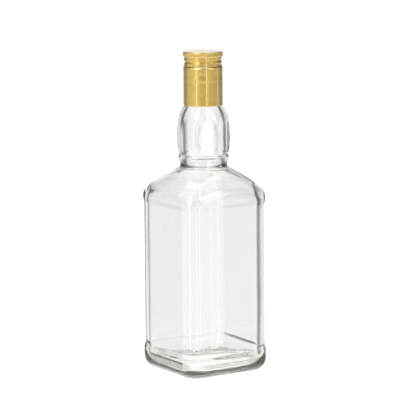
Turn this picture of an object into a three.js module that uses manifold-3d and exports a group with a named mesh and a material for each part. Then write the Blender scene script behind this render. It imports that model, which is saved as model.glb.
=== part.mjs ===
// Square spirits bottle of clear glass, about 700 ml, closed by a gold roll-on aluminium screw cap.
// Units are millimetres, +Z is up, and the origin is the centre of the base where it stands.
import * as THREE from 'three';
import { mergeVertices } from 'three/addons/utils/BufferGeometryUtils.js';
import Module from 'manifold-3d';

const wasm = await Module();
wasm.setup();

// Body: a square prism with round corners, whose four label panels lie back between two ledges
const PANEL_SIDE = 75.4;
const PANEL_CORNER_RADIUS = 11;
const PANEL_HEIGHT = 117.4;
const BASE_BAND_HEIGHT = 16.6;
const BASE_BAND_PROUD = 1.1;
const BASE_LEDGE_HEIGHT = 3;
const SHOULDER_LEDGE_HEIGHT = 1.6;
const SHOULDER_BAND_PROUD = 0.9;
const HEEL_INSET = 7.4;
const HEEL_HEIGHT = 10.4;
const HEEL_CORNER_SHARE = 0.6;
const BEARING_RING_WIDTH = 3.2;
const PUSH_UP_HEIGHT = 4.5;

// Shoulder: a cone of revolution that meets the square in a soft arch on each panel
const SHOULDER_RISE = 26.5;
const SHOULDER_SLOPE = THREE.MathUtils.degToRad(30);
const SHOULDER_EDGE_BLEND = 10;
const NECK_ROOT_BLEND = 2.9;
const NECK_ROOT_BELOW_WAIST = 1.3;

// Neck: a waist, a bead, then a barrel cut by eight flat flutes, and a collar under the cap
const WAIST_RADIUS = 18.9;
const BEAD_RADIUS = 20.25;
const BEAD_ABOVE_WAIST = 6.5;
const BEAD_ARC = 5;
const BARREL_RADIUS = 21.6;
const BARREL_ARC = 70;
const BARREL_FOOT_ABOVE_BEAD = 3.2;
const BARREL_FOOT_RADIUS = 19.6;
const BARREL_CENTRE_ABOVE_FOOT = 12.8;
const COLLAR_ABOVE_BARREL_CENTRE = 20.9;
const COLLAR_SLOPE = 0.733;
const FLUTE_COUNT = 8;
const FLUTE_ACROSS_FLATS = 39.9;
const FLUTE_ARC = 400;
const FLUTE_EDGE_BLEND = 0.3;
const COLLAR_BLEND = 1;
const BARREL_FOOT_BLEND = 0.6;
const BEAD_BLEND = 0.6;
const WAIST_BLEND = 0.4;

// Finish: the threaded mouth that the cap screws on, with its locking ring
const FINISH_HEIGHT = 44.7;
const FINISH_RADIUS = 13.7;
const LIP_CHAMFER = 0.9;
const THREAD_LEAD = 3.2;
const THREAD_TURNS = 1.6;
const THREAD_HEIGHT = 1.05;
const THREAD_START_BELOW_LIP = 2.3;
const THREAD_START_ANGLE = THREE.MathUtils.degToRad(-21.5);
const THREAD_RUN_OUT = 0.12;
const LOCKING_RING_RADIUS = 15.1;
const LOCKING_RING_HEIGHT = 2.6;
const LOCKING_RING_BELOW_LIP = 14;
const LOCKING_RING_FOOT_SLOPE = 0.25;
const BORE_RADIUS = 9.6;

// Walls of the glass
const PANEL_WALL = 2.9;
const BASE_WALL = 5.5;
const INNER_CORNER_RADIUS = 9;
const INNER_HEEL_RADIUS = 9;
const BARREL_BORE_RADIUS = 14.5;
const WAIST_BORE_RADIUS = 13.5;

// Cap: a drawn aluminium shell, cut by a slit into the screw shell and the tamper sleeve
const CAP_RADIUS = 15.82;
const CAP_WALL = 0.25;
const CAP_HEIGHT = 42.7;
const SLIT_BELOW_TOP = 11.7;
const SLIT_WIDTH = 0.6;
const SCREW_ZONE_RADIUS = 15.35;
const SCREW_ZONE_HEIGHT = 7.3;
const SCREW_ZONE_TAPER = 0.9;
const ROLLED_GROOVE_DEPTH = 0.85;
const ROLLED_GROOVE_RADIUS = 1;
const ROLLED_GROOVE_LEAD_IN = 0.45;
const ROLLED_GROOVE_TURNS = 1.65;
const CROWN_EDGE_RADIUS = 0.7;
const KNURL_COUNT = 72;
const KNURL_PROUD = 0.2;
const KNURL_HEIGHT = 2.6;
const KNURL_BELOW_TOP = 1;
const BRIDGE_COUNT = 8;
const BRIDGE_WIDTH = 1.1;
const LINER_THICKNESS = 1.9;
const RUNNING_GAP = 0.3;

// How finely the curved surfaces are divided
const BODY_SEGMENTS = 48;
const CAVITY_SEGMENTS = 40;
const CAP_SEGMENTS = 48;
const CORNER_CROWDING = 0.5;
const THREAD_STEPS_PER_TURN = 24;
const THREAD_SIDES = 8;
const ARC_STEPS = 4;
const EDGE_STEPS = 3;
const LEDGE_STEPS = 3;
const SHOULDER_STEPS = 12;
const BEAD_STEPS = 8;
const BARREL_STEPS = 8;
const COLLAR_STEPS = 5;
const CAVITY_SHOULDER_STEPS = 9;
const CAVITY_BORE_STEPS = 7;

// Radii and heights of the sleeve's rolled profile, from its top edge down
const SLEEVE_STATIONS = [
  { below: 0.9, proud: 0.06 },
  { below: 3.6, proud: 0.02 },
  { below: 6.4, proud: -0.16 },
  { below: 10, proud: 0.06 },
  { below: 12, proud: -0.1 },
  { below: 14.6, proud: 0 },
];
const SLEEVE_FLARE_PROUD = 0.1;
const SLEEVE_FLARE_HEIGHT = 0.8;
const SLEEVE_FLARE_LENGTH = 2.6;

// Heights worked out from the stack above
const baseLedgeTop = BASE_BAND_HEIGHT + BASE_LEDGE_HEIGHT;
const shoulderLedgeFoot = baseLedgeTop + PANEL_HEIGHT;
const shoulderFoot = shoulderLedgeFoot + SHOULDER_LEDGE_HEIGHT;
const waistHeight = shoulderFoot + SHOULDER_RISE;
const beadHeight = waistHeight + BEAD_ABOVE_WAIST;
const barrelFoot = beadHeight + BARREL_FOOT_ABOVE_BEAD;
const barrelCentre = barrelFoot + BARREL_CENTRE_ABOVE_FOOT;
const collarHeight = barrelCentre + COLLAR_ABOVE_BARREL_CENTRE;
const collarRadius = BARREL_RADIUS - COLLAR_ABOVE_BARREL_CENTRE ** 2 / (2 * BARREL_ARC);
const finishFoot = collarHeight + (collarRadius - FINISH_RADIUS) / COLLAR_SLOPE;
const lipHeight = collarHeight + FINISH_HEIGHT;
const linerFoot = lipHeight + RUNNING_GAP;
const linerTop = linerFoot + LINER_THICKNESS;
const capCeiling = linerTop + RUNNING_GAP;
const capTop = capCeiling + CAP_WALL;
const capFoot = capTop - CAP_HEIGHT;
const slitTop = capTop - SLIT_BELOW_TOP;
const slitFoot = slitTop - SLIT_WIDTH;

// Small tools for curves that melt into each other
function smoothMin(a, b, blend) {
  const overlap = Math.max(blend - Math.abs(a - b), 0);
  return Math.min(a, b) - overlap ** 2 / (4 * blend);
}

function smoothMax(a, b, blend) {
  return -smoothMin(-a, -b, blend);
}

function evenly(from, to, steps) {
  return Array.from({ length: steps + 1 }, (_, i) => THREE.MathUtils.lerp(from, to, i / steps));
}

function ease(value, from, to) {
  return THREE.MathUtils.smoothstep(value, from, to);
}

// Angles round the axis, closer together at the corners of the square than on its flats
function anglesRound(segments) {
  return evenly(0, 2 * Math.PI, segments)
    .slice(0, segments)
    .map((u) => u + (CORNER_CROWDING / 4) * Math.sin(4 * u));
}

// A round-cornered square, as the distance from its centre at an angle
function squareRadius(angle, half, corner) {
  const quarter = Math.PI / 2;
  const turned = (((angle % quarter) + quarter) % quarter);
  const fromFlat = Math.min(turned, quarter - turned);
  const rounding = Math.min(corner, half);
  const straight = half - rounding;
  if (Math.tan(fromFlat) * half <= straight) return half / Math.cos(fromFlat);
  const along = straight * (Math.cos(fromFlat) + Math.sin(fromFlat));
  const across = straight * (Math.cos(fromFlat) - Math.sin(fromFlat));
  return along + Math.sqrt(rounding ** 2 - across ** 2);
}

// A closed skin through rings from one end to the other, where each ring has a height and a
// radius for each angle; the ends close on a point of the axis
function loft(rings, angles, firstHeight, lastHeight) {
  const count = angles.length;
  const positions = [0, 0, firstHeight];
  for (const ring of rings) {
    for (const angle of angles) {
      const radius = ring.radius(angle);
      positions.push(radius * Math.cos(angle), radius * Math.sin(angle), ring.height);
    }
  }
  positions.push(0, 0, lastHeight);
  const lastPoint = 1 + rings.length * count;
  const index = [];
  for (let i = 0; i < count; i += 1) {
    const next = (i + 1) % count;
    index.push(0, 1 + next, 1 + i);
    for (let k = 0; k + 1 < rings.length; k += 1) {
      const low = 1 + k * count;
      const high = low + count;
      index.push(low + i, low + next, high + next);
      index.push(low + i, high + next, high + i);
    }
    index.push(lastPoint - count + i, lastPoint - count + next, lastPoint);
  }
  const geometry = new THREE.BufferGeometry();
  geometry.setAttribute('position', new THREE.Float32BufferAttribute(positions, 3));
  geometry.setIndex(index);
  return geometry;
}

// Solids for joining and cutting, and back
function toSolid(geometry) {
  const bare = geometry.clone();
  bare.deleteAttribute('normal');
  bare.deleteAttribute('uv');
  const merged = mergeVertices(bare, 1e-4);
  const mesh = new wasm.Mesh({
    numProp: 3,
    vertProperties: new Float32Array(merged.attributes.position.array),
    triVerts: new Uint32Array(merged.index.array),
  });
  return new wasm.Manifold(mesh);
}

function toGeometry(solid) {
  const mesh = solid.getMesh();
  const geometry = new THREE.BufferGeometry();
  geometry.setAttribute('position', new THREE.BufferAttribute(new Float32Array(mesh.vertProperties), 3));
  geometry.setIndex(new THREE.BufferAttribute(new Uint32Array(mesh.triVerts), 1));
  geometry.computeVertexNormals();
  return geometry;
}

// A turned solid from an outline of radius and height, listed from the axis at its foot, up
// its outside, to the axis at its top
function turned(outline, segments) {
  const points = outline.map(([radius, height]) => new THREE.Vector2(radius, height));
  const geometry = new THREE.LatheGeometry(points, segments);
  geometry.rotateX(Math.PI / 2);
  return toSolid(geometry);
}

// The thread's path: a right-hand helix that rises as it turns anticlockwise, seen from above,
// and whose ends move sideways by runOut until they leave the wall
class Helix extends THREE.Curve {
  constructor(radius, topHeight, topAngle, turns, runOut) {
    super();
    Object.assign(this, { radius, topHeight, topAngle, turns, runOut });
  }

  getPoint(t, target = new THREE.Vector3()) {
    const toEnd = Math.min(t, 1 - t) * this.turns;
    const away = this.runOut * (1 - ease(toEnd, 0, THREAD_RUN_OUT));
    const angle = this.topAngle - 2 * Math.PI * this.turns * t;
    const radius = this.radius + away;
    const height = this.topHeight - THREAD_LEAD * this.turns * t;
    return target.set(radius * Math.cos(angle), radius * Math.sin(angle), height);
  }
}

function roundBar(path, radius, turns) {
  const section = new THREE.Shape();
  for (let i = 0; i < THREAD_SIDES; i += 1) {
    const angle = (2 * Math.PI * i) / THREAD_SIDES;
    const place = [radius * Math.cos(angle), radius * Math.sin(angle)];
    if (i === 0) section.moveTo(...place);
    else section.lineTo(...place);
  }
  const steps = Math.round(turns * THREAD_STEPS_PER_TURN);
  return toSolid(new THREE.ExtrudeGeometry(section, { steps, bevelEnabled: false, extrudePath: path }));
}

// The bottle's outside
function barrelRadius(height) {
  return BARREL_RADIUS - (height - barrelCentre) ** 2 / (2 * BARREL_ARC);
}

function fluteRadius(angle, height) {
  const pitch = (2 * Math.PI) / FLUTE_COUNT;
  const fromRidge = (((angle % pitch) + pitch) % pitch);
  const apothem = FLUTE_ACROSS_FLATS / 2 - (height - barrelCentre) ** 2 / (2 * FLUTE_ARC);
  return apothem / Math.cos(fromRidge - pitch / 2);
}

function neckRadius(angle, height) {
  const fluted = smoothMin(barrelRadius(height), fluteRadius(angle, height), FLUTE_EDGE_BLEND);
  const collar = collarRadius - (height - collarHeight) * COLLAR_SLOPE;
  const topped = smoothMin(fluted, collar, COLLAR_BLEND);
  if (height > barrelCentre) return Math.max(topped, FINISH_RADIUS);
  const footed = smoothMin(topped, BARREL_FOOT_RADIUS + height - barrelFoot, BARREL_FOOT_BLEND);
  const bead = BEAD_RADIUS - (height - beadHeight) ** 2 / (2 * BEAD_ARC);
  return smoothMax(footed, smoothMax(WAIST_RADIUS, bead, BEAD_BLEND), WAIST_BLEND);
}

function coneRadius(height) {
  const drop = waistHeight - NECK_ROOT_BELOW_WAIST - height;
  return WAIST_RADIUS + drop / Math.tan(SHOULDER_SLOPE);
}

function prismRadius(angle, height) {
  const lowBand = BASE_BAND_PROUD * (1 - ease(height, BASE_BAND_HEIGHT, baseLedgeTop));
  const highBand = SHOULDER_BAND_PROUD * ease(height, shoulderLedgeFoot, shoulderFoot);
  const proud = lowBand + highBand;
  return squareRadius(angle, PANEL_SIDE / 2 + proud, PANEL_CORNER_RADIUS + proud);
}

function shoulderRadius(angle, height) {
  const round = smoothMax(neckRadius(angle, height), coneRadius(height), NECK_ROOT_BLEND);
  return smoothMin(prismRadius(angle, height), round, SHOULDER_EDGE_BLEND);
}

function ringsAt(heights, radius) {
  return heights.map((height) => ({ height, radius: (angle) => radius(angle, height) }));
}

const footHalf = PANEL_SIDE / 2 + BASE_BAND_PROUD - HEEL_INSET;
const footCorner = PANEL_CORNER_RADIUS + BASE_BAND_PROUD - HEEL_INSET * HEEL_CORNER_SHARE;

// A dome that is square at its edge and round at its middle, as rings from the middle out
function domeRings(edgeHeight, rise, half, corner) {
  return evenly(0, 1, ARC_STEPS).slice(1).map((share) => {
    const rounding = THREE.MathUtils.lerp(half * share, corner, share);
    return {
      height: edgeHeight + (rise * (1 + Math.cos(Math.PI * share))) / 2,
      radius: (angle) => squareRadius(angle, half * share, rounding),
    };
  });
}

function heelRings() {
  return evenly(0, Math.PI / 2, ARC_STEPS).map((turn) => {
    const inset = HEEL_INSET * (1 - Math.sin(turn));
    const half = PANEL_SIDE / 2 + BASE_BAND_PROUD - inset;
    const corner = PANEL_CORNER_RADIUS + BASE_BAND_PROUD - inset * HEEL_CORNER_SHARE;
    return {
      height: HEEL_HEIGHT * (1 - Math.cos(turn)),
      radius: (angle) => squareRadius(angle, half, corner),
    };
  });
}

function outside() {
  const ringTop = lipHeight - LOCKING_RING_BELOW_LIP + LOCKING_RING_HEIGHT;
  const heights = [
    ...evenly(BASE_BAND_HEIGHT, baseLedgeTop, LEDGE_STEPS),
    ...evenly(shoulderLedgeFoot, shoulderFoot, LEDGE_STEPS),
    ...evenly(shoulderFoot, waistHeight, SHOULDER_STEPS).slice(1),
    ...evenly(waistHeight, barrelFoot, BEAD_STEPS).slice(1),
    ...evenly(barrelFoot, collarHeight - COLLAR_BLEND, BARREL_STEPS).slice(1),
    ...evenly(collarHeight - COLLAR_BLEND, finishFoot, COLLAR_STEPS).slice(1),
  ];
  const lip = FINISH_RADIUS - LIP_CHAMFER;
  return loft(
    [
      ...domeRings(0, PUSH_UP_HEIGHT, footHalf - BEARING_RING_WIDTH, footCorner),
      ...heelRings(),
      ...ringsAt(heights, shoulderRadius),
      { height: lipHeight - LIP_CHAMFER, radius: () => FINISH_RADIUS },
      { height: lipHeight, radius: () => lip },
    ],
    anglesRound(BODY_SEGMENTS),
    PUSH_UP_HEIGHT,
    lipHeight,
  );
}

// The bottle's cavity
function boreRadius(height) {
  const toBarrel = THREE.MathUtils.lerp(
    WAIST_BORE_RADIUS,
    BARREL_BORE_RADIUS,
    ease(height, waistHeight, barrelCentre),
  );
  return THREE.MathUtils.lerp(toBarrel, BORE_RADIUS, ease(height, barrelCentre, finishFoot));
}

function cavityRadius(angle, height) {
  const prism = squareRadius(angle, PANEL_SIDE / 2 - PANEL_WALL, INNER_CORNER_RADIUS);
  const cone = coneRadius(height + PANEL_WALL / Math.cos(SHOULDER_SLOPE));
  const round = smoothMax(boreRadius(height), cone, 2 * NECK_ROOT_BLEND);
  return smoothMin(prism, round, SHOULDER_EDGE_BLEND);
}

function floorRings() {
  const half = PANEL_SIDE / 2 - PANEL_WALL;
  const flat = half - INNER_HEEL_RADIUS;
  const crown = domeRings(BASE_WALL, PUSH_UP_HEIGHT, flat, INNER_CORNER_RADIUS).slice(0, -1);
  const heel = evenly(0, Math.PI / 2, ARC_STEPS).map((turn) => {
    const inset = INNER_HEEL_RADIUS * (1 - Math.sin(turn));
    return {
      height: BASE_WALL + INNER_HEEL_RADIUS * (1 - Math.cos(turn)),
      radius: (angle) => squareRadius(angle, half - inset, INNER_CORNER_RADIUS),
    };
  });
  return [...crown, ...heel];
}

function cavity() {
  const heights = [
    shoulderFoot - PANEL_WALL,
    ...evenly(shoulderFoot - PANEL_WALL, waistHeight, CAVITY_SHOULDER_STEPS).slice(1),
    ...evenly(waistHeight, finishFoot, CAVITY_BORE_STEPS).slice(1),
    lipHeight + LIP_CHAMFER,
  ];
  return loft(
    [...floorRings(), ...ringsAt(heights, cavityRadius)],
    anglesRound(CAVITY_SEGMENTS),
    BASE_WALL + PUSH_UP_HEIGHT,
    lipHeight + LIP_CHAMFER,
  );
}

function lockingRing() {
  const foot = lipHeight - LOCKING_RING_BELOW_LIP;
  const rise = LOCKING_RING_RADIUS - FINISH_RADIUS;
  return turned(
    [
      [0, foot],
      [FINISH_RADIUS, foot],
      [LOCKING_RING_RADIUS, foot + rise * LOCKING_RING_FOOT_SLOPE],
      [LOCKING_RING_RADIUS, foot + LOCKING_RING_HEIGHT - rise],
      [FINISH_RADIUS, foot + LOCKING_RING_HEIGHT],
      [0, foot + LOCKING_RING_HEIGHT],
    ],
    BODY_SEGMENTS,
  );
}

function glassThread() {
  const path = new Helix(
    FINISH_RADIUS,
    lipHeight - THREAD_START_BELOW_LIP,
    THREAD_START_ANGLE,
    THREAD_TURNS,
    -THREAD_HEIGHT,
  );
  return roundBar(path, THREAD_HEIGHT, THREAD_TURNS);
}

function glassBottle() {
  const skin = toSolid(outside()).add(lockingRing()).add(glassThread());
  return toGeometry(skin.subtract(toSolid(cavity())));
}

// The cap's screw shell, drawn to a cup and rolled into the glass thread
function crownOutline(wall) {
  const top = capTop - wall;
  const rounding = CROWN_EDGE_RADIUS - wall / 2;
  const side = CAP_RADIUS - wall;
  const screw = SCREW_ZONE_RADIUS - wall;
  const screwTop = slitTop + SCREW_ZONE_HEIGHT;
  const foot = wall > 0 ? slitTop - SLIT_WIDTH : slitTop;
  const edge = evenly(0, Math.PI / 2, EDGE_STEPS).map((turn) => [
    side - rounding * (1 - Math.cos(turn)),
    top - rounding * (1 - Math.sin(turn)),
  ]);
  return [
    [0, foot],
    [screw, foot],
    [screw, screwTop],
    [side, screwTop + SCREW_ZONE_TAPER],
    ...edge,
    [0, top],
  ];
}

function rolledGroove(radius) {
  const path = new Helix(
    SCREW_ZONE_RADIUS - ROLLED_GROOVE_DEPTH + ROLLED_GROOVE_RADIUS,
    lipHeight - THREAD_START_BELOW_LIP - THREAD_LEAD / 2 + ROLLED_GROOVE_LEAD_IN * THREAD_LEAD,
    THREAD_START_ANGLE + ROLLED_GROOVE_LEAD_IN * 2 * Math.PI,
    ROLLED_GROOVE_TURNS,
    ROLLED_GROOVE_DEPTH + CAP_WALL,
  );
  return roundBar(path, radius, ROLLED_GROOVE_TURNS);
}

function knurledBand() {
  const outline = new THREE.Shape();
  for (let i = 0; i < 2 * KNURL_COUNT; i += 1) {
    const angle = (Math.PI * i) / KNURL_COUNT;
    const radius = CAP_RADIUS + (i % 2 ? KNURL_PROUD : 0);
    const place = [radius * Math.cos(angle), radius * Math.sin(angle)];
    if (i === 0) outline.moveTo(...place);
    else outline.lineTo(...place);
  }
  const band = new THREE.ExtrudeGeometry(outline, { depth: KNURL_HEIGHT, bevelEnabled: false });
  band.translate(0, 0, capTop - KNURL_BELOW_TOP - KNURL_HEIGHT);
  return toSolid(band);
}

function capShell() {
  const metal = turned(crownOutline(0), CAP_SEGMENTS).add(knurledBand());
  const hollow = turned(crownOutline(CAP_WALL), CAP_SEGMENTS);
  const grooved = metal.subtract(rolledGroove(ROLLED_GROOVE_RADIUS));
  const ridged = hollow.subtract(rolledGroove(ROLLED_GROOVE_RADIUS + CAP_WALL));
  return toGeometry(grooved.subtract(ridged));
}

// The foam disc that the cap presses on the lip
function capLiner() {
  const radius = CAP_RADIUS - CAP_WALL - RUNNING_GAP;
  return toGeometry(
    turned([[0, linerFoot], [radius, linerFoot], [radius, linerTop], [0, linerTop]], CAP_SEGMENTS),
  );
}

// The tamper sleeve: the long skirt that stays on the neck, with the broken bridges on its edge
function capSleeve() {
  const stations = [
    [SCREW_ZONE_RADIUS, slitFoot],
    ...SLEEVE_STATIONS.map(({ below, proud }) => [CAP_RADIUS + proud, slitFoot - below]),
    [CAP_RADIUS, capFoot + SLEEVE_FLARE_LENGTH],
    [CAP_RADIUS + SLEEVE_FLARE_PROUD, capFoot + SLEEVE_FLARE_HEIGHT],
    [CAP_RADIUS, capFoot],
  ];
  const outer = stations.reverse();
  const inner = outer.map(([radius, height]) => [radius - CAP_WALL, height]).reverse();
  const skirt = turned([...outer, ...inner, outer[0]], CAP_SEGMENTS);
  let sleeve = skirt;
  for (let i = 0; i < BRIDGE_COUNT; i += 1) {
    const height = SLIT_WIDTH - RUNNING_GAP;
    const bridge = new THREE.BoxGeometry(CAP_WALL, BRIDGE_WIDTH, 2 * height);
    bridge.translate(SCREW_ZONE_RADIUS - CAP_WALL / 2, 0, slitFoot);
    bridge.rotateZ((2 * Math.PI * (i + 0.5)) / BRIDGE_COUNT);
    sleeve = sleeve.add(toSolid(bridge));
  }
  return toGeometry(sleeve);
}

const clearGlass = new THREE.MeshStandardMaterial({
  color: 0xe6ece8,
  roughness: 0.05,
  metalness: 0,
  transparent: true,
  opacity: 0.4,
});
const goldLacquer = new THREE.MeshStandardMaterial({ color: 0xc9a658, roughness: 0.35, metalness: 0.9 });
const whiteFoam = new THREE.MeshStandardMaterial({ color: 0xf2f1ec, roughness: 0.8, metalness: 0 });

function piece(name, geometry, material) {
  const mesh = new THREE.Mesh(geometry, material);
  mesh.name = name;
  return mesh;
}

const bottle = new THREE.Group();
bottle.add(
  piece('glass_bottle', glassBottle(), clearGlass),
  piece('cap_shell', capShell(), goldLacquer),
  piece('cap_liner', capLiner(), whiteFoam),
  piece('cap_sleeve', capSleeve(), goldLacquer),
);

export default bottle;
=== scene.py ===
# %% [markdown]
# A square spirits bottle of clear glass, closed by a gold screw cap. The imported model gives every
# piece its place and size. This script makes the surfaces fine enough for glass and metal, gives
# them their finishes, and sets up a white studio and the camera of the photograph.

# %% Load the frame
import bmesh
import bpy
from math import atan2, cos, pi, radians, sin, sqrt, tan
from mathutils import Matrix, Vector, noise


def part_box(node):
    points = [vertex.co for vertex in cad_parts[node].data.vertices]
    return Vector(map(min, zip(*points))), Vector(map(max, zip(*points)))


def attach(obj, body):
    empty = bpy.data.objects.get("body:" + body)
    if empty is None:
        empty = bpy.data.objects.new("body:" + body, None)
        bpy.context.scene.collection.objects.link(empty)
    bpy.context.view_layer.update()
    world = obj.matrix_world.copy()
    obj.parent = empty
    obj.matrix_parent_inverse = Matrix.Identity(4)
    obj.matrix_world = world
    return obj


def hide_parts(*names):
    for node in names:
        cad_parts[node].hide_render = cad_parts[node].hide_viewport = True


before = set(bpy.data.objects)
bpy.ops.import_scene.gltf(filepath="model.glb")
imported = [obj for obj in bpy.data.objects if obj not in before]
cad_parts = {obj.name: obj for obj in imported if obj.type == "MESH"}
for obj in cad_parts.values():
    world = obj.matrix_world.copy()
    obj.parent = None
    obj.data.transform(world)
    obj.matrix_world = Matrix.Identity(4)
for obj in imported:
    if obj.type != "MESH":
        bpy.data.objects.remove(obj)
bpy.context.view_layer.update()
MM = 0.001

# %% [markdown]
# The outer sizes are read from the frame's boxes, so they can't drift from the solid pieces. What a
# box can't tell, such as a ledge's height or a corner's rounding, is a value of its own.

# %% Sizes from the frame
glass_low, glass_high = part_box("glass_bottle")
shell_low, shell_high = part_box("cap_shell")
liner_low, liner_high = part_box("cap_liner")
sleeve_low, sleeve_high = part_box("cap_sleeve")
LIP = glass_high.z
BAND_HALF = glass_high.x
CAP_TOP = shell_high.z
SLIT_TOP = shell_low.z
CAP_FOOT = sleeve_low.z
print("lip at", round(LIP / MM, 2), "mm, cap top at", round(CAP_TOP / MM, 2), "mm")

# %% Sizes of the body
BASE_BAND_PROUD = 1.1 * MM
PANEL_HALF = BAND_HALF - BASE_BAND_PROUD
PANEL_CORNER = 11 * MM
BASE_BAND = 16.2 * MM
BASE_LEDGE = 20.2 * MM
SHOULDER_LEDGE = 133.8 * MM
SHOULDER_FOOT = 138.6 * MM
SHOULDER_PROUD = 0.9 * MM
HEEL_INSET = 7.4 * MM
HEEL_HEIGHT = 10.4 * MM
HEEL_CORNER_SHARE = 0.6
BEARING_RING = 3.2 * MM
PUSH_UP = 4.5 * MM
FOOT_HALF = BAND_HALF - HEEL_INSET
FOOT_CORNER = PANEL_CORNER + BASE_BAND_PROUD - HEEL_INSET * HEEL_CORNER_SHARE

# %% Sizes of the shoulder and neck
WAIST = 165.1 * MM
WAIST_RADIUS = 18.9 * MM
SHOULDER_SLOPE = radians(30)
SHOULDER_BLEND = 10 * MM
FLUTE_EDGE_BLEND = 0.5 * MM
COLLAR_BLEND = 1.5 * MM
MOUTH_FOOT_BLEND = 1 * MM
BARREL_FOOT_BLEND = 1 * MM
BEAD_BLEND = 1 * MM
WAIST_BLEND = 0.6 * MM
ROOT_BLEND = 2.9 * MM
ROOT_BELOW_WAIST = 1.3 * MM
BEAD = 171.6 * MM
BEAD_RADIUS = 20.25 * MM
BEAD_ARC = 5 * MM
BARREL_FOOT = 174.8 * MM
BARREL_FOOT_RADIUS = 19.6 * MM
BARREL = 187.6 * MM
BARREL_RADIUS = 21.6 * MM
BARREL_ARC = 70 * MM
FLUTES = 8
FLUTE_HALF = 19.95 * MM
FLUTE_ARC = 400 * MM
COLLAR = 208.5 * MM
COLLAR_RADIUS = BARREL_RADIUS - (COLLAR - BARREL) ** 2 / (2 * BARREL_ARC)
COLLAR_SLOPE = 0.733

# %% Sizes of the threaded mouth and the walls
FINISH_RADIUS = 13.7 * MM
FINISH_FOOT = COLLAR + (COLLAR_RADIUS - FINISH_RADIUS) / COLLAR_SLOPE
LIP_ROUNDING = 0.9 * MM
BORE = 9.6 * MM
THREAD_LEAD = 3.2 * MM
THREAD_TURNS = 1.6
THREAD_HEIGHT = 1.05 * MM
THREAD_TOP = LIP - 2.3 * MM
THREAD_ANGLE = radians(-21.5)
THREAD_RUN_OUT = 0.12
LOCKING_RING = LIP - 14 * MM
LOCKING_RING_HEIGHT = 2.6 * MM
LOCKING_RING_RADIUS = 15.1 * MM
LOCKING_RING_FOOT_SLOPE = 4
LOCKING_RING_BLEND = 0.4 * MM
PANEL_WALL = 2.9 * MM
BASE_WALL = 5.5 * MM
INNER_CORNER = 11 * MM
INNER_HEEL = 9 * MM
NECK_WALL = 4 * MM
WAIST_BORE = 14.4 * MM
WAIST_BORE_TOP = BARREL_FOOT + 3 * MM
BARREL_BORE_BLEND = 1 * MM
COLLAR_BORE_BLEND = 4 * MM
MOUTH_BORE_BLEND = 3 * MM
FLUTES_IN_BORE = 0.4 * MM
INNER_BLEND = 15 * MM
INNER_ROOT_BLEND = 3 * ROOT_BLEND
RIPPLE_LENGTH = 60 * MM
RIPPLE_CROWDING = 1.7
RIPPLE_DEPTH = 0.22 * MM
FINE_RIPPLE_DEPTH = 0.07 * MM
RIPPLE_FULL = 3 * INNER_HEEL
FLOOR_WAVER = 0.13 * MM
FLOOR_WAVER_LENGTH = 7 * MM


# %% [markdown]
# Blown glass has no sharp edges: one form melts into the next. A smooth minimum does that with
# numbers. It takes the smaller of two radii, and rounds the crossing over a stated width.

# %% Tools for curves that melt into each other
def smooth_min(a, b, blend):
    overlap = max(blend - abs(a - b), 0)
    return min(a, b) - overlap**2 / (4 * blend)


def smooth_max(a, b, blend):
    return -smooth_min(-a, -b, blend)


def ease(value, low, high):
    share = min(max((value - low) / (high - low), 0), 1)
    return share * share * (3 - 2 * share)


def mix(a, b, share):
    return a + (b - a) * share


def evenly(low, high, steps):
    return [mix(low, high, i / steps) for i in range(steps + 1)]


def square_radius(angle, half, corner):
    """How far a round-cornered square reaches from its centre at an angle."""
    turned = angle % (pi / 2)
    off = min(turned, pi / 2 - turned)
    rounding = min(corner, half)
    straight = half - rounding
    if tan(off) * half <= straight:
        return half / cos(off)
    across = straight * (cos(off) - sin(off))
    return straight * (cos(off) + sin(off)) + sqrt(rounding**2 - across**2)


# %% [markdown]
# The outside is one formula: a radius for each angle and height. The square body, the cone of the
# shoulder and the neck with its bead, barrel and flutes are joined by smooth minima and maxima. The
# mouth above them carries the thread and the locking ring, which the cap hides.

# %% The outside of the glass as a radius at each angle and height
def neck_radius(angle, height):
    off = height - BARREL
    barrel = BARREL_RADIUS - off**2 / (2 * BARREL_ARC)
    pitch = 2 * pi / FLUTES
    flute = (FLUTE_HALF - off**2 / (2 * FLUTE_ARC)) / cos(angle % pitch - pitch / 2)
    fluted = smooth_min(barrel, flute, FLUTE_EDGE_BLEND)
    collar = COLLAR_RADIUS - (height - COLLAR) * COLLAR_SLOPE
    topped = smooth_min(fluted, collar, COLLAR_BLEND)
    if height > BARREL:
        return smooth_max(topped, FINISH_RADIUS, MOUTH_FOOT_BLEND)
    foot = BARREL_FOOT_RADIUS + height - BARREL_FOOT
    footed = smooth_min(topped, foot, BARREL_FOOT_BLEND)
    bead = BEAD_RADIUS - (height - BEAD) ** 2 / (2 * BEAD_ARC)
    return smooth_max(footed, smooth_max(WAIST_RADIUS, bead, BEAD_BLEND), WAIST_BLEND)


def cone_radius(height):
    return WAIST_RADIUS + (WAIST - ROOT_BELOW_WAIST - height) / tan(SHOULDER_SLOPE)


def prism_radius(angle, height):
    low = BASE_BAND_PROUD * (1 - ease(height, BASE_BAND, BASE_LEDGE))
    high = SHOULDER_PROUD * ease(height, SHOULDER_LEDGE, SHOULDER_FOOT)
    return square_radius(angle, PANEL_HALF + low + high, PANEL_CORNER + low + high)


def shoulder_radius(angle, height):
    around = smooth_max(neck_radius(angle, height), cone_radius(height), ROOT_BLEND)
    return smooth_min(prism_radius(angle, height), around, SHOULDER_BLEND)


def thread_reach(angle, height):
    """How far the thread stands out from the wall of the mouth."""
    start = ((THREAD_ANGLE - angle) / (2 * pi)) % 1
    reach = 0
    for along in (start, start + 1):
        rise = height - (THREAD_TOP - THREAD_LEAD * along)
        if along < THREAD_TURNS and abs(rise) < THREAD_HEIGHT:
            fade = ease(min(along, THREAD_TURNS - along), 0, THREAD_RUN_OUT)
            bar = sqrt(THREAD_HEIGHT**2 - rise**2)
            reach = max(reach, bar - THREAD_HEIGHT * (1 - fade))
    return reach


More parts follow.
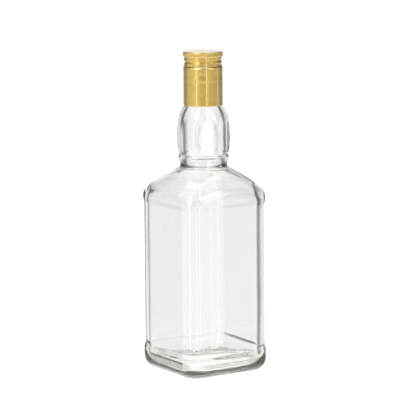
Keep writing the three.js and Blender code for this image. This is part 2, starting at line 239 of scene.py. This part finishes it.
def ring_reach(height):
    """How far the locking ring stands out: steep under its foot, sloping at its top."""
    low = LOCKING_RING_FOOT_SLOPE * (height - LOCKING_RING)
    high = LOCKING_RING + LOCKING_RING_HEIGHT - height
    sides = smooth_min(low, high, LOCKING_RING_BLEND)
    crest = LOCKING_RING_RADIUS - FINISH_RADIUS
    return max(smooth_min(sides, crest, LOCKING_RING_BLEND), 0)


def outside_radius(angle, height):
    if height <= FINISH_FOOT:
        return shoulder_radius(angle, height)
    return FINISH_RADIUS + max(thread_reach(angle, height), ring_reach(height))


# %% [markdown]
# The inside has no ledges, bead or flutes. It follows the outside at the wall's distance, and
# wavers a little, which is what makes the lines seen through the glass live.

# %% The inside of the glass
def bore_radius(height):
    """The neck's wall is even, so its inside follows the barrel and then narrows to the mouth."""
    off = height - BARREL
    barrel = BARREL_RADIUS - off**2 / (2 * BARREL_ARC)
    barrel = smooth_min(barrel, FLUTE_HALF + FLUTES_IN_BORE, BARREL_BORE_BLEND)
    collar = COLLAR_RADIUS - (height - COLLAR) * COLLAR_SLOPE
    inner = smooth_min(barrel, collar, COLLAR_BORE_BLEND) - NECK_WALL
    inner = smooth_max(inner, BORE, MOUTH_BORE_BLEND)
    return mix(WAIST_BORE, inner, ease(height, WAIST, WAIST_BORE_TOP))


def cavity_radius(angle, height):
    prism = square_radius(angle, PANEL_HALF - PANEL_WALL, INNER_CORNER)
    cone = cone_radius(height + PANEL_WALL / cos(SHOULDER_SLOPE))
    around = smooth_max(bore_radius(height), cone, INNER_ROOT_BLEND)
    wave = ripple(angle, height) * ease(height, BASE_WALL + INNER_HEEL, RIPPLE_FULL)
    return smooth_min(prism, around, INNER_BLEND) + wave


def ripple(angle, height):
    """The slow waves that blowing leaves on the inner wall."""
    place = Vector((cos(angle), sin(angle), height / RIPPLE_LENGTH)) * RIPPLE_CROWDING
    return RIPPLE_DEPTH * noise.noise(place) + FINE_RIPPLE_DEPTH * noise.noise(place * 3)


# %% [markdown]
# Every piece is a skin laid over rings. The first ring is a circle, and each next ring is pulled
# from the one before and then set to its own radius and height. A skin ends on the axis at both
# ends, or joins its last ring to its first.

# %% A tool that lays a skin over rings
def lay(ring, radius, height):
    for vert in ring:
        angle = atan2(vert.co.y, vert.co.x)
        reach = radius(angle)
        vert.co = (reach * cos(angle), reach * sin(angle), height(angle))


def skin(name, rings, segments, crowding=0.0, closed=True):
    """A mesh over (radius, height) pairs, each a number or a function of the angle."""
    as_rule = lambda value: value if callable(value) else lambda angle: value
    rules = [(as_rule(radius), as_rule(height)) for radius, height in rings]
    bm = bmesh.new()
    first = bmesh.ops.create_circle(bm, cap_ends=False, segments=segments, radius=1)["verts"]
    for vert in first:
        turn = atan2(vert.co.y, vert.co.x)
        turn += crowding / 4 * sin(4 * turn)
        vert.co = (cos(turn), sin(turn), 0)
    edges = bm.edges[:]
    start = edges
    ring = first
    lay(ring, *rules[0])
    for rule in rules[1:]:
        made = bmesh.ops.extrude_edge_only(bm, edges=edges)["geom"]
        ring = [part for part in made if isinstance(part, bmesh.types.BMVert)]
        fresh = set(ring)
        edges = [part for part in made if isinstance(part, bmesh.types.BMEdge)]
        edges = [edge for edge in edges if fresh.issuperset(edge.verts)]
        lay(ring, *rule)
    if closed:
        for end, rule in ((first, rules[0]), (ring, rules[-1])):
            bmesh.ops.pointmerge(bm, verts=end, merge_co=(0, 0, rule[1](0)))
    else:
        bmesh.ops.bridge_loops(bm, edges=start + edges)
    bmesh.ops.recalc_face_normals(bm, faces=bm.faces)
    for face in bm.faces:
        face.smooth = True
    mesh = bpy.data.meshes.new(name)
    bm.to_mesh(mesh)
    bm.free()
    made = bpy.data.objects.new(name, mesh)
    bpy.context.scene.collection.objects.link(made)
    print(name, len(mesh.vertices), "vertices", len(mesh.polygons), "faces")
    return made


# %% [markdown]
# The glass is one closed skin. It starts at the middle of the push-up under the base, runs out to
# the ring the bottle stands on, up the heel, the panels, the shoulder and the neck, over the lip,
# and down the inside to the middle of the floor.

# %% The rings of the glass
def dome(edge, rise, half, corner, steps, first=0.02):
    """Rings of a dome that is square at its edge and round at its middle, from the middle out."""
    rings = []
    for share in evenly(first, 1, steps):
        rounding = mix(half * share, corner, share)
        reach = lambda angle, half=half * share, corner=rounding: square_radius(angle, half, corner)
        rings.append((reach, edge + rise * (1 + cos(pi * share)) / 2))
    return rings


def quarter(half, inset, height, corner, share, low, steps):
    """Rings round a heel that curves from the level up to the upright."""
    rings = []
    for turn in evenly(0, pi / 2, steps):
        away = inset * (1 - sin(turn))
        reach = lambda angle, away=away: square_radius(angle, half - away, corner - away * share)
        rings.append((reach, low + height * (1 - cos(turn))))
    return rings


def upright(radius, heights):
    return [(lambda angle, height=height: radius(angle, height), height) for height in heights]


def heights_over(stops):
    """Heights through stops of (height, steps from the stop before)."""
    heights = [stops[0][0]]
    for (low, _), (high, steps) in zip(stops, stops[1:]):
        heights += evenly(low, high, steps)[1:]
    return heights


RING_MARGIN = 0.2 * MM
OUTER_STOPS = (
    (HEEL_HEIGHT, 0), (BASE_BAND, 3), (BASE_LEDGE, 10), (SHOULDER_LEDGE, 24), (SHOULDER_FOOT, 8),
    (WAIST - 8 * MM, 30), (BARREL_FOOT, 46), (COLLAR - 3 * MM, 40), (FINISH_FOOT + 1 * MM, 24),
    (LOCKING_RING - RING_MARGIN, 6), (LOCKING_RING + LOCKING_RING_HEIGHT + RING_MARGIN, 16),
    (LIP - 9 * MM, 3), (LIP - LIP_ROUNDING, 36),
)
INNER_STOPS = (
    (LIP - 2 * LIP_ROUNDING, 0), (FINISH_FOOT, 10), (WAIST + 6 * MM, 24),
    (SHOULDER_FOOT - PANEL_WALL, 40), (BASE_WALL + INNER_HEEL, 36),
)
lip_rings = [
    (FINISH_RADIUS - LIP_ROUNDING * (1 - cos(turn)), LIP - LIP_ROUNDING * (1 - sin(turn)))
    for turn in evenly(0, pi / 2, 5)[1:]
] + [
    (BORE + LIP_ROUNDING * (1 - sin(turn)), LIP - LIP_ROUNDING * (1 - cos(turn)))
    for turn in evenly(0, pi / 2, 5)
]
inner_half = PANEL_HALF - PANEL_WALL


def uneven(rings):
    """Rings whose heights waver, as the floor of a blown bottle does."""
    made = []
    for reach, height in rings:
        waver = lambda angle, reach=reach, height=height: height + FLOOR_WAVER * noise.noise(
            Vector((reach(angle) * cos(angle), reach(angle) * sin(angle), height))
            / FLOOR_WAVER_LENGTH)
        made.append((reach, waver))
    return made


floor_rings = quarter(inner_half, INNER_HEEL, INNER_HEEL, INNER_CORNER, 0, BASE_WALL, 10)[::-1]
crown_rings = dome(BASE_WALL, PUSH_UP, inner_half - INNER_HEEL, INNER_CORNER, 16)[::-1]

# %% [markdown]
# More segments are laid near the corners than along the flat panels.

# %% The glass
GLASS_SEGMENTS = 176
CORNER_CROWDING = 0.5
glass_rings = (
    dome(0, PUSH_UP, FOOT_HALF - BEARING_RING, FOOT_CORNER, 20)
    + quarter(BAND_HALF, HEEL_INSET, HEEL_HEIGHT, PANEL_CORNER + BASE_BAND_PROUD,
              HEEL_CORNER_SHARE, 0, 16)
    + upright(outside_radius, heights_over(OUTER_STOPS)[1:])
    + lip_rings
    + upright(cavity_radius, heights_over(INNER_STOPS)[:-1])
    + floor_rings[:2] + uneven(floor_rings[2:] + crown_rings[1:])
)
glass = skin("glass_bottle_fine", glass_rings, GLASS_SEGMENTS, CORNER_CROWDING)
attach(glass, "bottle")
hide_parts("glass_bottle")

# %% [markdown]
# The cap is drawn from thin aluminium. Its top edge is knurled, its side is plain, and its lower
# part was rolled into the glass thread. A cut all round parts it from the sleeve below, which
# keeps the broken bridges on its edge.

# %% Sizes of the cap
CAP_RADIUS = 15.82 * MM
CAP_WALL = 0.25 * MM
SCREW_RADIUS = 15.35 * MM
SCREW_TOP = SLIT_TOP + 7.3 * MM
SCREW_TAPER = 0.9 * MM
GROOVE_DEPTH = 0.85 * MM
GROOVE_WIDTH = 1 * MM
GROOVE_LEAD_IN = 0.45
GROOVE_TURNS = 1.65
GROOVE_TOP = THREAD_TOP - THREAD_LEAD / 2 + GROOVE_LEAD_IN * THREAD_LEAD
GROOVE_ANGLE = THREAD_ANGLE + GROOVE_LEAD_IN * 2 * pi
CROWN_EDGE = 0.7 * MM
KNURLS = 72
KNURL_PROUD = shell_high.x - CAP_RADIUS
KNURL_DEEP = 0.14 * MM
KNURL_TOP = CAP_TOP - 1 * MM
KNURL_FOOT = KNURL_TOP - 2.6 * MM
KNURL_EASE = 0.25 * MM
EDGE_ROUNDING = 0.06 * MM
SHELL_SEGMENTS = 432
SLEEVE_SEGMENTS = 384
BRIDGES = 8
BRIDGE_WIDTH = 1.1 * MM
BRIDGE_STUB = 0.3 * MM
BRIDGE_EASE = 0.25 * MM
SLIT_FOOT = SLIT_TOP - 0.6 * MM
SLEEVE_PROFILE = (
    (0, -0.3), (0.9, 0.06), (3.6, 0.02), (6.4, -0.16), (10, 0.06), (12, -0.1), (14.6, 0),
    (27.8, 0), (29.6, 0.1), (30.4, 0),
)


# %% The cap's outside
def groove(angle, height):
    """How deep the roller pressed the metal into the glass thread."""
    start = ((GROOVE_ANGLE - angle) / (2 * pi)) % 1
    depth = 0
    for along in (start, start + 1):
        rise = height - (GROOVE_TOP - THREAD_LEAD * along)
        if along < GROOVE_TURNS:
            fade = ease(min(along, GROOVE_TURNS - along), 0, THREAD_RUN_OUT)
            depth = max(depth, fade * (1 - ease(abs(rise), 0, 1.25 * GROOVE_WIDTH)))
    return GROOVE_DEPTH * depth


def shell_radius(angle, height):
    side = mix(SCREW_RADIUS, CAP_RADIUS, ease(height, SCREW_TOP, SCREW_TOP + SCREW_TAPER))
    band = ease(height, KNURL_FOOT, KNURL_FOOT + KNURL_EASE)
    band *= 1 - ease(height, KNURL_TOP - KNURL_EASE, KNURL_TOP)
    tooth = 0.5 - 0.5 * cos(angle * KNURLS)
    return side + band * (KNURL_PROUD * tooth - KNURL_DEEP * (1 - tooth)) - groove(angle, height)


def sleeve_radius(angle, height):
    below = (SLIT_FOOT - height) / MM
    for (low, proud), (high, next_proud) in zip(SLEEVE_PROFILE, SLEEVE_PROFILE[1:]):
        if below <= high:
            return CAP_RADIUS + mix(proud, next_proud, ease(below, low, high)) * MM
    return CAP_RADIUS


# %% [markdown]
# The shell's skin runs from the middle of its top's underside down the inside, round the cut edge,
# up the outside past the knurls, and over the crown to the middle of the top.

# %% The screw shell of the cap
screw_heights = heights_over((
    (SLIT_TOP + EDGE_ROUNDING, 0), (SCREW_TOP, 44), (SCREW_TOP + SCREW_TAPER, 6)))
knurl_heights = evenly(KNURL_FOOT, KNURL_FOOT + KNURL_EASE, 4)
knurl_heights += evenly(KNURL_TOP - KNURL_EASE, KNURL_TOP, 4)
crown = [
    (CAP_RADIUS - CROWN_EDGE * (1 - cos(turn)), CAP_TOP - CROWN_EDGE * (1 - sin(turn)))
    for turn in evenly(0, pi / 2, 8)
]
top_rings = [
    (share * (CAP_RADIUS - CROWN_EDGE), CAP_TOP) for share in (0.97, 0.8, 0.5, 0.25, 0.05)
]
inner_crown = [
    (radius - CAP_WALL, height - CAP_WALL) for radius, height in (crown + top_rings)[::-1]
]
shell_inside = lambda angle, height: min(shell_radius(angle, height), CAP_RADIUS) - CAP_WALL
shell_rings = (
    inner_crown + upright(shell_inside, screw_heights[:-1:3][::-1])
    + [(SCREW_RADIUS - CAP_WALL + EDGE_ROUNDING, SLIT_TOP), (SCREW_RADIUS - EDGE_ROUNDING, SLIT_TOP)]
    + upright(shell_radius, screw_heights + knurl_heights) + crown + top_rings
)
shell = skin("cap_shell_fine", shell_rings, SHELL_SEGMENTS)
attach(shell, "cap")
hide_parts("cap_shell")


# %% [markdown]
# The sleeve is open at both ends, so its skin runs up the outside, over the torn edge, down the
# inside and back to its start.


# %% The tamper sleeve with its broken bridges
def torn_edge(angle):
    """The sleeve's top edge, which stands up where a bridge was torn off."""
    pitch = 2 * pi / BRIDGES
    across = abs(angle % pitch - pitch / 2) * SCREW_RADIUS
    gone = ease(across, BRIDGE_WIDTH / 2, BRIDGE_WIDTH / 2 + BRIDGE_EASE)
    return SLIT_FOOT + BRIDGE_STUB * (1 - gone)


sleeve_heights = evenly(CAP_FOOT + EDGE_ROUNDING, SLIT_FOOT - EDGE_ROUNDING, 72)
sleeve_inside = lambda angle, height: sleeve_radius(angle, height) - CAP_WALL
top_out = sleeve_radius(0, SLIT_FOOT)
sleeve_rings = upright(sleeve_radius, sleeve_heights) + [
    (top_out, torn_edge), (top_out - CAP_WALL, torn_edge),
] + upright(sleeve_inside, sleeve_heights[::-3]) + [
    (CAP_RADIUS - CAP_WALL + EDGE_ROUNDING, CAP_FOOT), (CAP_RADIUS - EDGE_ROUNDING, CAP_FOOT),
]
sleeve = skin("cap_sleeve_fine", sleeve_rings, SLEEVE_SEGMENTS, closed=False)
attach(sleeve, "bottle")
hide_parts("cap_sleeve")

# %% [markdown]
# The liner is a plain disc with rounded edges. Its first and last rings close on the axis.

# %% The foam liner under the cap's top
LINER_ROUNDING = 0.3 * MM
LINER_MIDDLE = 0.4 * MM
LINER_SEGMENTS = 96

rim = liner_high.x
liner_rings = [
    (LINER_MIDDLE, liner_low.z), (rim - LINER_ROUNDING, liner_low.z),
    (rim, liner_low.z + LINER_ROUNDING), (rim, liner_high.z - LINER_ROUNDING),
    (rim - LINER_ROUNDING, liner_high.z), (LINER_MIDDLE, liner_high.z),
]
liner = skin("cap_liner_fine", liner_rings, LINER_SEGMENTS)
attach(liner, "liner")
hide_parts("cap_liner")

# %% [markdown]
# The finishes are worked out by shader nodes from each point's place on the piece. The tools below
# make a node with its inputs named in the call, and each input takes a value or another's output.


# %% Tools for shader nodes
def fill(tree, socket, value):
    if hasattr(value, "node"):
        tree.links.new(value, socket)
    else:
        socket.default_value = value


def settle(tree, node, **inputs):
    """Fill inputs by name, with _ for each space."""
    for name, value in inputs.items():
        fill(tree, node.inputs[name.replace("_", " ")], value)
    return node


def add(tree, kind, **inputs):
    return settle(tree, tree.nodes.new(kind), **inputs)


def new_material(name):
    material = bpy.data.materials.new(name)
    material.use_nodes = True
    tree = material.node_tree
    return material, tree, tree.nodes["Principled BSDF"], tree.nodes["Material Output"]


def maths(tree, operation, *values):
    node = tree.nodes.new("ShaderNodeMath")
    node.operation = operation
    for socket, value in zip(node.inputs, values):
        fill(tree, socket, value)
    return node.outputs[0]


def remap(tree, value, low, high, at_low=0.0, at_high=1.0):
    return add(tree, "ShaderNodeMapRange", Value=value, From_Min=low, From_Max=high,
               To_Min=at_low, To_Max=at_high).outputs[0]


def blend(tree, share, first, second, colour=False):
    """Two values or two colours, mixed by a share of the second."""
    node = tree.nodes.new("ShaderNodeMix")
    node.data_type = "RGBA" if colour else "FLOAT"
    low = 6 if colour else 2
    for place, value in ((0, share), (low, first), (low + 1, second)):
        fill(tree, node.inputs[place], value)
    return node.outputs[2 if colour else 0]


def ramp(tree, value, stops):
    node = tree.nodes.new("ShaderNodeValToRGB")
    elements = node.color_ramp.elements
    while len(elements) > 1:
        elements.remove(elements[-1])
    for i, (place, level) in enumerate(stops):
        element = elements[0] if i == 0 else elements.new(place)
        element.position = place
        element.color = (level, level, level, 1)
    tree.links.new(value, node.inputs[0])
    return node.outputs[0]


def from_axis(tree, place):
    """How far a point lies from the axis, counted along the nearer side of the square."""
    parts = add(tree, "ShaderNodeSeparateXYZ", Vector=place)
    sides = [maths(tree, "ABSOLUTE", parts.outputs[name]) for name in ("X", "Y")]
    return maths(tree, "MAXIMUM", *sides)


# %% [markdown]
# The glass takes up a little more red and blue than green, so thick parts look grey-green. The ring
# that it stands on is stippled: cells of noise roughen it low down and near the outside only. Light
# for a shadow goes straight through, and loses a little on the way.

# %% The look of the glass
GLASS_TINT = (0.985, 0.992, 0.985, 1)
GLASS_IOR = 1.52
GLASS_LETS_BY = (0.545, 0.60, 0.49, 1)
GLASS_DENSITY = 23
GLASS_SHADOW = (0.86, 0.88, 0.87, 1)
STIPPLE_SCALE = 600
STIPPLE_STRETCH = (1, 1, 0.45)
STIPPLE_DEPTH = 1.1 * MM
STIPPLE_TOP, STIPPLE_GONE = 4.2 * MM, 5.4 * MM
STIPPLE_START, STIPPLE_FULL = 28.5 * MM, 30 * MM

glass_look, tree, shader, output = new_material("clear_glass_look")
settle(tree, shader, Base_Color=GLASS_TINT, Transmission_Weight=1, Roughness=0, IOR=GLASS_IOR)
absorb = add(tree, "ShaderNodeVolumeAbsorption", Color=GLASS_LETS_BY, Density=GLASS_DENSITY)
place = tree.nodes.new("ShaderNodeTexCoord").outputs["Object"]
height = add(tree, "ShaderNodeSeparateXYZ", Vector=place).outputs["Z"]
low = remap(tree, height, STIPPLE_GONE, STIPPLE_TOP)
outer = remap(tree, from_axis(tree, place), STIPPLE_START, STIPPLE_FULL)
longer = add(tree, "ShaderNodeMapping", Vector=place, Scale=STIPPLE_STRETCH)
dots = add(tree, "ShaderNodeTexVoronoi", Vector=longer.outputs[0], Scale=STIPPLE_SCALE)
rise = maths(tree, "MULTIPLY", dots.outputs["Distance"], maths(tree, "MULTIPLY", low, outer))
stipple = add(tree, "ShaderNodeBump", Distance=STIPPLE_DEPTH, Height=rise)
settle(tree, shader, Normal=stipple.outputs[0])
see_through = add(tree, "ShaderNodeBsdfTransparent", Color=GLASS_SHADOW)
ray = tree.nodes.new("ShaderNodeLightPath")
choice = tree.nodes.new("ShaderNodeMixShader")
for socket, value in zip(choice.inputs, (
        ray.outputs["Is Shadow Ray"], shader.outputs[0], see_through.outputs[0])):
    tree.links.new(value, socket)
settle(tree, output, Surface=choice.outputs[0], Volume=absorb.outputs[0])

# %% [markdown]
# The cap is brushed aluminium under a gold lacquer with a clear, shiny coat. A painted sheen makes
# its colour paler where it is seen at a low angle. The streaks of the brush run along the cap.

# %% The gold lacquer
GOLD = (0.78, 0.535, 0.12, 1)
PAINTED_SHEEN_GOLD = (1.0, 0.87, 0.6, 1)
PAINTED_SHEEN_POWER = 4
COAT_IOR = 1.8
COAT_ROUGHNESS = 0.03
STREAK_SCALE = 900
STREAK_STRETCH = (1, 1, 0.04)
STREAK_DETAIL = 3
STREAK_DEPTH = 0.04 * MM
STREAK_STRENGTH = 0.2
SMOOTHEST, ROUGHEST = 0.38, 0.52

gold_look, tree, shader, output = new_material("gold_lacquer_look")
# Painted sheen: the base colour turns from gold to pale gold where the cap is seen at a low angle.
edge = add(tree, "ShaderNodeLayerWeight", Blend=0.5)
gold_with_painted_sheen = blend(tree, maths(tree, "POWER", edge.outputs["Facing"], PAINTED_SHEEN_POWER), GOLD, PAINTED_SHEEN_GOLD, True)
place = tree.nodes.new("ShaderNodeTexCoord").outputs["Object"]
stretch = add(tree, "ShaderNodeMapping", Vector=place, Scale=STREAK_STRETCH)
streaks = add(tree, "ShaderNodeTexNoise", Vector=stretch.outputs[0], Scale=STREAK_SCALE,
              Detail=STREAK_DETAIL).outputs[0]
brush = add(tree, "ShaderNodeBump", Strength=STREAK_STRENGTH, Distance=STREAK_DEPTH, Height=streaks)
settle(tree, shader, Base_Color=gold_with_painted_sheen, Metallic=1, Coat_Weight=1, Coat_Roughness=COAT_ROUGHNESS,
       Coat_IOR=COAT_IOR, Roughness=remap(tree, streaks, 0, 1, SMOOTHEST, ROUGHEST),
       Normal=brush.outputs[0])

# %% [markdown]
# The liner is a dull off-white foam with fine cells. Then each piece gets its look.

# %% The foam
FOAM = (0.86, 0.85, 0.82, 1)
FOAM_ROUGHNESS = 0.85
CELL_SCALE = 2500
CELL_DEPTH = 0.1 * MM
CELL_STRENGTH = 0.3

foam_look, tree, shader, output = new_material("liner_foam_look")
place = tree.nodes.new("ShaderNodeTexCoord").outputs["Object"]
cells = add(tree, "ShaderNodeTexVoronoi", Vector=place, Scale=CELL_SCALE)
pits = add(tree, "ShaderNodeBump", Strength=CELL_STRENGTH, Distance=CELL_DEPTH,
           Height=cells.outputs["Distance"])
settle(tree, shader, Base_Color=FOAM, Roughness=FOAM_ROUGHNESS, Normal=pits.outputs[0])

for piece, look, slot in (
    (glass, glass_look, "clear_glass"), (shell, gold_look, "gold_lacquer"),
    (sleeve, gold_look, "gold_lacquer"), (liner, foam_look, "liner_foam"),
):
    piece.data.materials.append(look)

# %% [markdown]
# The studio is a bright field, as glass is photographed: white straight behind the bottle, and dark
# flags beside and above that, which draw its edges. The room on the camera's side is pale, with
# narrow strip lights. What a ray sees depends on its direction from the camera, so the same studio
# turns with the camera. Angles are degrees from straight ahead.

# %% The studio's levels
FIELD_ACROSS = (
    (-180, 0.5), (-90, 0.5), (-74, 0.3), (-58, 0.1), (-45, 0.2), (-32, 0.55), (-23, 0.84),
    (-15, 0.93), (-7, 1), (7, 1), (15, 0.93), (23, 0.84), (32, 0.55), (45, 0.2), (58, 0.1),
    (74, 0.3), (90, 0.5), (180, 0.5),
)
FIELD_UP = (
    (-90, 0.6), (-50, 0.62), (-35, 0.85), (-20, 1), (23, 1), (29, 0.5), (36, 0.1), (45, 0.25),
    (56, 1), (64, 1), (68, 4), (80, 4), (84, 1), (90, 1),
)
ROOM_ACROSS = (
    (-180, 0.2), (-140, 0.3), (-105, 0.66), (-60, 0.6), (60, 0.4), (105, 0.36), (180, 0.2),
)
BRIGHTEST = 4
STRIP_ANGLES = (-141, -81, 85, 158)
STRIP_HALF, STRIP_FOOT = 2, 3
STRIP_LEVEL = 3.8
ROOM_STARTS, ROOM_FULL = 0.25, -0.15
GROUND_STARTS, GROUND_FULL = -0.32, -0.6
GROUND_LEVEL = 1.25
SOFT_LIGHT = 0.55
WHITE = 1.05


# %% The studio as shiny and clear surfaces see it
def by_angle(tree, angle, stops):
    """A level read off stops of (degrees, level)."""
    share = maths(tree, "MULTIPLY_ADD", angle, 0.5 / pi, 0.5)
    spread = [((degree + 180) / 360, level / BRIGHTEST) for degree, level in stops]
    return maths(tree, "MULTIPLY", ramp(tree, share, spread), BRIGHTEST)


def studio(tree, direction):
    turned = add(tree, "ShaderNodeVectorTransform", Vector=direction)
    turned.vector_type = "VECTOR"
    turned.convert_from = "WORLD"
    turned.convert_to = "CAMERA"
    parts = add(tree, "ShaderNodeSeparateXYZ", Vector=turned.outputs[0]).outputs
    across = maths(tree, "ARCTAN2", parts["X"], parts["Z"])
    rise = maths(tree, "ARCSINE", parts["Y"])
    field = maths(tree, "MULTIPLY", by_angle(tree, across, FIELD_ACROSS),
                  by_angle(tree, rise, FIELD_UP))
    strips = [(-180, 0)]
    for angle in STRIP_ANGLES:
        strips += [(angle - STRIP_FOOT, 0), (angle - STRIP_HALF, STRIP_LEVEL),
                   (angle + STRIP_HALF, STRIP_LEVEL), (angle + STRIP_FOOT, 0)]
    room = maths(tree, "ADD", by_angle(tree, across, ROOM_ACROSS), by_angle(tree, across, strips))
    around = blend(tree, remap(tree, parts["Z"], ROOM_STARTS, ROOM_FULL), field, room)
    return blend(tree, remap(tree, parts["Y"], GROUND_STARTS, GROUND_FULL), around, GROUND_LEVEL)


def shiny_or_clear(tree, ray):
    """1 for a ray that comes off a shiny surface or through a clear one."""
    return maths(tree, "MAXIMUM", ray.outputs["Is Glossy Ray"], ray.outputs["Is Transmission Ray"])


world = bpy.data.worlds.new("studio")
bpy.context.scene.world = world
world.use_nodes = True
tree = world.node_tree
ray = tree.nodes.new("ShaderNodeLightPath")
seen = studio(tree, tree.nodes.new("ShaderNodeTexCoord").outputs["Generated"])
shine = maths(tree, "MULTIPLY", shiny_or_clear(tree, ray), maths(tree, "SUBTRACT", seen, SOFT_LIGHT))
in_view = maths(tree, "MULTIPLY", ray.outputs["Is Camera Ray"], WHITE)
level = maths(tree, "MAXIMUM", maths(tree, "ADD", SOFT_LIGHT, shine), in_view)
settle(tree, tree.nodes["Background"], Color=(1, 1, 1, 1), Strength=level)

# %% [markdown]
# The floor glows just short of white, and the lamps bring it to white but for the soft shadow round
# the foot. Seen in the glass or the cap it shows the studio, with a painted pool of light right
# under the bottle. It lies a hair below the foot, so the two never share a plane.

# %% The floor
FLOOR_HALF = 6
FLOOR_DROP = 0.2 * MM
FLOOR_GLOW = 0.915
FLOOR_GREY = (0.17, 0.17, 0.17, 1)
PAINTED_POOL_STARTS, PAINTED_POOL_FULL, PAINTED_POOL_LEVEL = 38 * MM, 34 * MM, 1.18
FAR_STARTS, FAR_FULL = 150 * MM, 600 * MM

bm = bmesh.new()
bmesh.ops.create_grid(bm, x_segments=1, y_segments=1, size=FLOOR_HALF)
bmesh.ops.translate(bm, verts=bm.verts, vec=(0, 0, -FLOOR_DROP))
mesh = bpy.data.meshes.new("studio_floor")
bm.to_mesh(mesh)
bm.free()
floor = bpy.data.objects.new("studio_floor", mesh)
bpy.context.scene.collection.objects.link(floor)
floor_look, tree, shader, output = new_material("studio_floor_look")
geometry = tree.nodes.new("ShaderNodeNewGeometry").outputs
ray = tree.nodes.new("ShaderNodeLightPath")
back = add(tree, "ShaderNodeVectorMath", Vector=geometry["Incoming"])
back.operation = "SCALE"
settle(tree, back, Scale=-1)
away = from_axis(tree, geometry["Position"])
# Painted pool of light: in the glass and the cap the floor glows brighter within a few centimetres
# of the axis.
painted_pool = remap(tree, away, PAINTED_POOL_STARTS, PAINTED_POOL_FULL, 1, PAINTED_POOL_LEVEL)
seen = maths(tree, "MULTIPLY", shiny_or_clear(tree, ray), studio(tree, back.outputs[0]))
seen_with_painted_pool = maths(tree, "MULTIPLY", maths(tree, "MULTIPLY", seen, painted_pool), FLOOR_GLOW)
far = remap(tree, away, FAR_STARTS, FAR_FULL, FLOOR_GLOW, WHITE)
in_view = maths(tree, "MULTIPLY", ray.outputs["Is Camera Ray"], far)
settle(tree, shader, Emission_Strength=maths(tree, "MAXIMUM", seen_with_painted_pool, in_view),
       Emission_Color=(1, 1, 1, 1), Base_Color=FLOOR_GREY, Roughness=1, Specular_IOR_Level=0)
floor.data.materials.append(floor_look)

# %% [markdown]
# Three soft boxes light the cap and give the floor its shadow. The top one is kept out of
# reflections. Places and sizes are in metres and powers in watts.


# %% The lamps
LAMP_TARGET = Vector((0, 0, 0.14))


def soft_box(name, place, size, power):
    lamp = bpy.data.lights.new(name, "AREA")
    lamp.shape = "RECTANGLE"
    lamp.size, lamp.size_y = size
    lamp.energy = power
    made = bpy.data.objects.new(name, lamp)
    bpy.context.scene.collection.objects.link(made)
    made.visible_glossy = name != "top"
    turn = (LAMP_TARGET - Vector(place)).to_track_quat("-Z", "Y").to_matrix().to_4x4()
    made.matrix_world = Matrix.Translation(place) @ turn


soft_box("key_left", (-2.0, -0.6, 1.5), (0.9, 1.3), 22)
soft_box("fill_right", (0.7, -1.9, 1.2), (0.8, 1.2), 8)
soft_box("top", (0.3, 0.3, 2.2), (1.4, 1.4), 14)

# %% [markdown]
# The camera stands where the photograph was taken from, worked out from the bottle's outline. It
# aims a little beside the bottle and is turned by the photograph's slight tilt. The focal length was
# found in pixels of the photograph.

# %% The camera and the view settings
EYE = Vector((-1.0730, -1.6632, 0.4518))
AIM = Vector((0, 0, 0.135))
AIM_RIGHT = 2.83 * MM
AIM_DOWN = 4.56 * MM
TILT = radians(0.403)
FOCAL_PIXELS = 2508
PHOTO_PIXELS = 415
SENSOR_WIDTH = 36
LIGHT_BOUNCES = 24


def level_axes(eye, target):
    """Ahead, right and up for a level camera that looks from one point at another."""
    ahead = (target - eye).normalized()
    right = ahead.cross(Vector((0, 0, 1))).normalized()
    return ahead, right, right.cross(ahead)


ahead, right, up = level_axes(EYE, AIM)
ahead, right, up = level_axes(EYE, AIM + right * AIM_RIGHT - up * AIM_DOWN)
across = right * cos(TILT) - up * sin(TILT)
upward = up * cos(TILT) + right * sin(TILT)
lens = bpy.data.cameras.new("camera")
lens.sensor_width = SENSOR_WIDTH
lens.lens = FOCAL_PIXELS * SENSOR_WIDTH / PHOTO_PIXELS
camera = bpy.data.objects.new("camera", lens)
bpy.context.scene.collection.objects.link(camera)
turn = Matrix((across, upward, -ahead)).transposed().to_4x4()
camera.matrix_world = Matrix.Translation(EYE) @ turn
bpy.context.scene.camera = camera
bpy.context.scene.view_settings.view_transform = "Standard"
for limit in ("max_bounces", "glossy_bounces", "transmission_bounces", "transparent_max_bounces"):
    setattr(bpy.context.scene.cycles, limit, LIGHT_BOUNCES)
